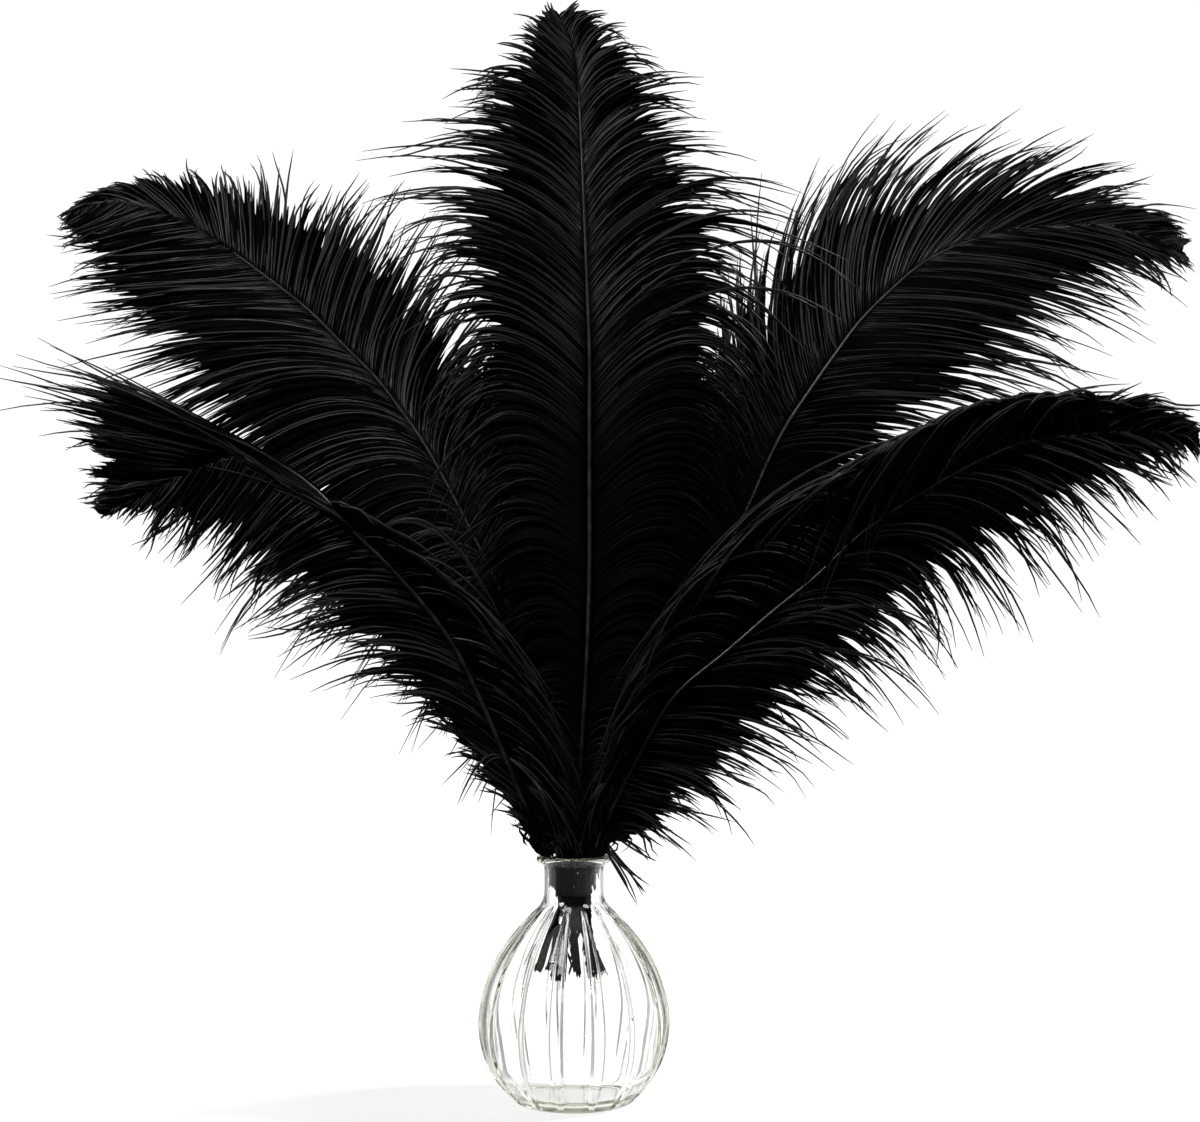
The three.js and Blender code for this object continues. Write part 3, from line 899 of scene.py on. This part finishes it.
# The quill and shaft: a round tube along the cut end, the lip and the shaft's curve, its
# radius falling with the share of its length, its cut end torn to uneven points.
def shaftPiece(plume):
    draw = np.random.default_rng(plume["seed"] + shaftForm["seedStep"])
    curve = shaftCurve(plume)[0]
    quillRings = shaftForm["quillRings"]
    below = np.linspace(0, 1, quillRings + 1)[:-1, None]
    cutEnd = np.array([[plume["cut"], -bottle["cutDepth"]]])
    quill = cutEnd + (np.array([[plume["mouth"], 0.0]]) - cutEnd) * below
    picked = np.linspace(shaftForm["firstPoint"], len(curve) - 1, shaftForm["shaftRings"])
    path = np.vstack([quill, curve[picked.astype(int)]])
    t = np.linspace(0, 1, len(picked))
    radius = np.concatenate([
        np.linspace(shaftForm["cutRadius"], shaftForm["mouthRadius"], quillRings),
        shaftForm["mouthRadius"] * (1 - t) ** shaftForm["taper"] + shaftForm["tipRadius"],
    ])
    kept = np.concatenate([np.ones(quillRings), 1 - shaftForm["forwardLoss"] * t**2])
    ahead = kept * np.clip(path[:, 1] / shaftForm["forwardOver"], 0, 1)
    depth = sheetDepth(plume, path[:, 1]) - shaftForm["forward"] * ahead
    centre = np.stack([path[:, 0], depth, path[:, 1]], axis=-1)
    side, face = across(centre)
    sides = shaftForm["sides"]
    turn = np.arange(sides) * 2 * math.pi / sides
    cosine, sine = np.cos(turn)[None, :, None], np.sin(turn)[None, :, None]
    ringShape = side[:, None] * cosine + face[:, None] * sine
    rings = centre[:, None] + ringShape * radius[:, None, None]
    rings[0, :, 2] += draw.uniform(0, shaftForm["raggedEnd"], sides)
    hollow = centre[:1] + [[0, 0, shaftForm["cutHollow"]]]
    points = np.vstack([rings.reshape(-1, 3), hollow, centre[-1:]])
    points[:, 2] += bottle["lipHeight"]
    quads, fans = tubeQuads(1, len(path), sides), endFans(len(path), sides)
    uvs = points[:, [0, 2]] / shaftForm["uvLength"]
    # the quill below the lip takes the horn with painted shade, the shaft above it the shiny horn
    piece = meshPiece(plume["name"] + "_shaft", points, quads, fans, uvs, shadedBlackQuill)
    piece.data.materials.append(blackShaft)
    onQuill = np.arange(len(quads)) // sides < quillRings
    finish = np.concatenate([~onQuill, np.zeros(sides), np.ones(sides)])
    piece.data.polygons.foreach_set("material_index", finish.astype(np.int32))
    return piece


triangles = 0
for plume in plumes:
    for piece in (shaftPiece(plume), *barbPieces(plume)):
        stands(piece, plume["name"])
        piece.data.calc_loop_triangles()
        triangles += len(piece.data.loop_triangles)
        print(piece.name, len(piece.data.loop_triangles), "triangles")
print("plumes made:", triangles, "triangles in all")


studio = dict(
    floorSize=5.0,
    floorColour=(0.35, 0.35, 0.35, 1),
    floorRough=0.9,
    floorGlow=1.03,
    nearGlow=0.84,  # of the floor under the vase, where its soft shadow shows
    glowOver=(0.1, 0.3),  # m from the axis, from the one glow to the other
    backdrop=1.05,  # the room as the camera sees it
    skyStrength=0.03,
    skyRise=0.13,
    backGlow=0.3,
    bandTurn=32.0,
    bandHalf=12.5,
    bandDark=1.0,
    bandOver=(0.045, 0.0585),  # m from the vase's axis over which the bands on the floor set in
    bandCentre=0.042,  # in front of the axis, where the bands on the floor start from
    bandRise=0.3,  # highest part of the bands, as the sine of its angle
    leastNorth=0.001,  # keeps the bands' tangent from a division by 0
    frontGlow=0.04,  # of the room and the floor before the vase, as the glass sees them
    frontFloor=(-0.07, -0.14),  # from where to where the floor falls off to it
    frontRoom=(-0.7, -0.2),  # and the room, by the sine towards the back
    mirrorTurn=0.7,  # by how much of the sine further round the glass mirrors the dim front
    dullDepth=0.5,  # a ray with more dull bounces than this gathers light for a dull surface
    cameraPlace=(0.0117, -1.08, 0.2432),
    lens=72.0,
    sensorWidth=36.0,
    clipStart=0.01,
    # name, place, size and power of the lamps that light the plumes, and what they point at
    lamps=[
        ("topLamp", (-0.5, -0.7, 1.5), 0.6, 9), ("backLamp", (0.8, 0.7, 1.2), 0.6, 9),
        ("leftLamp", (-1.0, -0.9, 0.7), 0.35, 5), ("rightLamp", (1.0, -0.8, 0.9), 0.35, 4),
    ],
    lampTarget=(0, 0, 0.3),
    shadowLamp=("shadowLamp", (0.9, 0.12, 0.6), 0.2, 18),
    shadowTarget=(0, 0, 0.05),
    lightBounces=dict(
        max_bounces=28, transmission_bounces=28, transparent_max_bounces=24, glossy_bounces=16
    ),
)


# Dark bands in the room behind the vase, which only the glass sees: bandDark in a band, else 0.
# They stand bandTurn degrees to each side of the way back, and glass bends into its outlines
# what lies there. The angle's tangent is measured, so the band's edges are tangents as well.
def backBands(tree, east, north):
    ahead = shaderMath(tree, "MAXIMUM", north, studio["leastNorth"])
    aside = shaderMath(tree, "DIVIDE", shaderMath(tree, "ABSOLUTE", east), ahead)
    near = math.tan(math.radians(studio["bandTurn"] - studio["bandHalf"]))
    far = math.tan(math.radians(studio["bandTurn"] + studio["bandHalf"]))
    past = shaderMath(tree, "GREATER_THAN", aside, near)
    inside = shaderMath(tree, "MULTIPLY", past, shaderMath(tree, "LESS_THAN", aside, far))
    return shaderMath(tree, "MULTIPLY", inside, studio["bandDark"])


# A pale floor that glows, so that it is as white as the room, a little less under the vase.
# It lights nothing: rays that left a dull surface don't see it.
def floorPlane():
    half = studio["floorSize"]
    points = np.array([[-half, -half, 0], [half, -half, 0], [half, half, 0], [-half, half, 0]])
    material, tree, shader = newMaterial(
        "paleFloor", Base_Color=studio["floorColour"], Roughness=studio["floorRough"],
        Emission_Color=(1, 1, 1, 1),
    )
    coordinates = addNode(tree, "ShaderNodeTexCoord")
    away = addNode(tree, "ShaderNodeVectorMath")
    away.operation = "LENGTH"
    link(tree, coordinates, "Object", away, "Vector")
    distance = away.outputs["Value"]
    glow = mapRange(tree, distance, studio["glowOver"], studio["nearGlow"], studio["floorGlow"])
    place = addNode(tree, "ShaderNodeSeparateXYZ")
    link(tree, coordinates, "Object", place, "Vector")
    path = tree.nodes.new("ShaderNodeLightPath")
    far = mapRange(tree, distance, studio["bandOver"], 0, 1)
    behind = shaderMath(tree, "ADD", place.outputs["Y"], studio["bandCentre"])
    bands = backBands(tree, place.outputs["X"], behind)
    throughGlass = shaderMath(tree, "MULTIPLY", far, path.outputs["Is Transmission Ray"])
    dark = shaderMath(tree, "MULTIPLY", bands, throughGlass)
    front = mapRange(tree, place.outputs["Y"], studio["frontFloor"], 0, 1 - studio["frontGlow"])
    dim = shaderMath(tree, "MULTIPLY", front, path.outputs["Is Transmission Ray"])
    lost = shaderMath(tree, "MAXIMUM", dim, dark)
    direct = shaderMath(tree, "LESS_THAN", path.outputs["Diffuse Depth"], studio["dullDepth"])
    left = shaderMath(tree, "MULTIPLY", direct, shaderMath(tree, "SUBTRACT", 1.0, lost))
    tree.links.new(shaderMath(tree, "MULTIPLY", glow, left), shader.inputs["Emission Strength"])
    none = np.zeros((0, 3), dtype=int)
    quad = np.array([[0, 1, 2, 3]])
    floor = meshPiece("floor", points / millimetre, quad, none, points[:, :2], material)
    floor.visible_diffuse = False
    floor.visible_glossy = False
    return floor


# The room is white where it is seen directly, through the glass or mirrored in it. The glass
# also sees upright dark bands, which it bends into its dark outlines. What lights the plumes
# is dimmer and falls off towards the floor.
def studioWorld():
    world = bpy.data.worlds.new("studio")
    bpy.context.scene.world = world
    world.use_nodes = True
    tree = world.node_tree
    direction = tree.nodes.new("ShaderNodeSeparateXYZ")
    tree.links.new(tree.nodes.new("ShaderNodeTexCoord").outputs["Generated"], direction.inputs[0])
    east, north, up = (direction.outputs[axis] for axis in "XYZ")
    sky = shaderMath(tree, "MULTIPLY_ADD", up, studio["skyRise"], studio["skyStrength"])
    sky = shaderMath(tree, "MAXIMUM", sky, 0.0)
    behind = shaderMath(tree, "MAXIMUM", north, 0.0)
    sky = shaderMath(tree, "MULTIPLY_ADD", behind, studio["backGlow"], sky)
    low = shaderMath(tree, "LESS_THAN", shaderMath(tree, "ABSOLUTE", up), studio["bandRise"])
    bands = shaderMath(tree, "MULTIPLY", backBands(tree, east, north), low)
    lit = shaderMath(tree, "SUBTRACT", 1.0, bands)
    path = tree.nodes.new("ShaderNodeLightPath")
    mirrored = shaderMath(tree, "SUBTRACT", 1.0, path.outputs["Is Transmission Ray"])
    further = shaderMath(tree, "MULTIPLY", mirrored, studio["mirrorTurn"])
    turned = shaderMath(tree, "SUBTRACT", north, further)
    front = mapRange(tree, turned, studio["frontRoom"], studio["frontGlow"], 1)
    room = shaderMath(tree, "MULTIPLY", lit, front)
    direct = shaderMath(tree, "LESS_THAN", path.outputs["Diffuse Depth"], studio["dullDepth"])
    clear = shaderMath(tree, "MULTIPLY", direct, path.outputs["Is Singular Ray"])
    throughGlass = mixed(tree, clear, sky, room)
    seen = mixed(tree, path.outputs["Is Camera Ray"], throughGlass, studio["backdrop"])
    background = tree.nodes["Background"]
    background.inputs["Color"].default_value = (1, 1, 1, 1)
    tree.links.new(seen, background.inputs["Strength"])


# A square lamp that shines from place towards target.
def areaLamp(target, name, place, size, power):
    lamp = bpy.data.lights.new(name, "AREA")
    lamp.energy = power
    lamp.size = size
    holder = bpy.data.objects.new(name, lamp)
    holder.location = place
    direction = np.array(target) - np.array(place)
    yaw = math.atan2(-direction[0], direction[1])
    pitch = math.atan2(math.hypot(direction[0], direction[1]), -direction[2])
    holder.rotation_euler = (pitch, 0, yaw)
    bpy.context.scene.collection.objects.link(holder)
    return holder


def studioCamera():
    camera = bpy.data.cameras.new("camera")
    camera.lens = studio["lens"]
    camera.sensor_width = studio["sensorWidth"]
    camera.clip_start = studio["clipStart"]
    holder = bpy.data.objects.new("camera", camera)
    holder.location = studio["cameraPlace"]
    holder.rotation_euler = (math.pi / 2, 0, 0)
    bpy.context.scene.collection.objects.link(holder)
    bpy.context.scene.camera = holder


# A lamp's links: it lights only one object, or all but it, and where there are shading
# objects, only they cast its shadows.
def lampLinks(lamp, lit, state, shading=()):
    receivers = bpy.data.collections.new(lamp.name + "Lit")
    receivers.objects.link(lit)
    receivers.collection_objects[0].light_linking.link_state = state
    lamp.light_linking.receiver_collection = receivers
    if shading:
        blockers = bpy.data.collections.new(lamp.name + "Shading")
        for piece in shading:
            blockers.objects.link(piece)
        lamp.light_linking.blocker_collection = blockers


floor = floorPlane()
studioWorld()
for lamp in studio["lamps"]:
    lampLinks(areaLamp(studio["lampTarget"], *lamp), floor, "EXCLUDE")
shadowLamp = areaLamp(studio["shadowTarget"], *studio["shadowLamp"])
lampLinks(shadowLamp, floor, "INCLUDE", [vasePiece])
studioCamera()
scene = bpy.context.scene
scene.view_settings.view_transform = "Standard"
for kind, bounces in studio["lightBounces"].items():
    setattr(scene.cycles, kind, bounces)
print("stage set")
